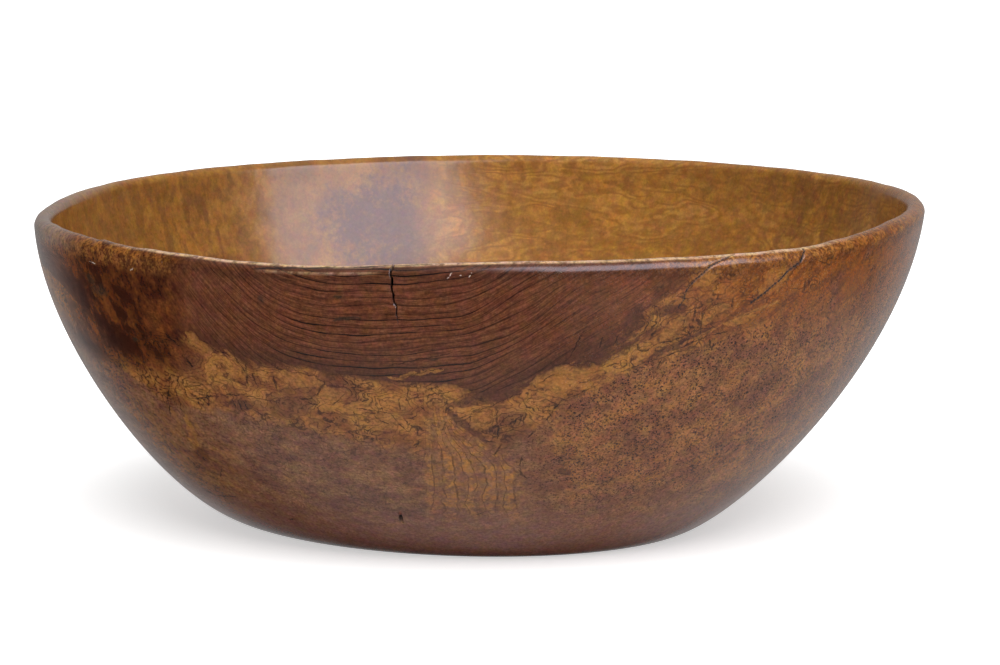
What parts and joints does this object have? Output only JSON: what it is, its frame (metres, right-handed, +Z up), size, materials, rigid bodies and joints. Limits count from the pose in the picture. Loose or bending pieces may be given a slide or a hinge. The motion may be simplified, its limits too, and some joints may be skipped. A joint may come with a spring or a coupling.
{
  "type": "wooden bowl",
  "caption": "Large hand-carved burl wood bowl with a rounded, slightly wavy oval rim, a drying crack and a flat rest.",
  "frame": {"origin": "middle of the bowl's bounding box at the level of the surface that it stands on", "axes": "+X to the right along the longest width, +Y to the back, +Z up; the drying crack is at the front"},
  "size_m": [0.4774, 0.4524, 0.1736],
  "materials": {
    "burl_wood": "satin"
  },
  "bodies": {
    "root": {"bowl": "burl_wood"}
  },
  "joints": []
}
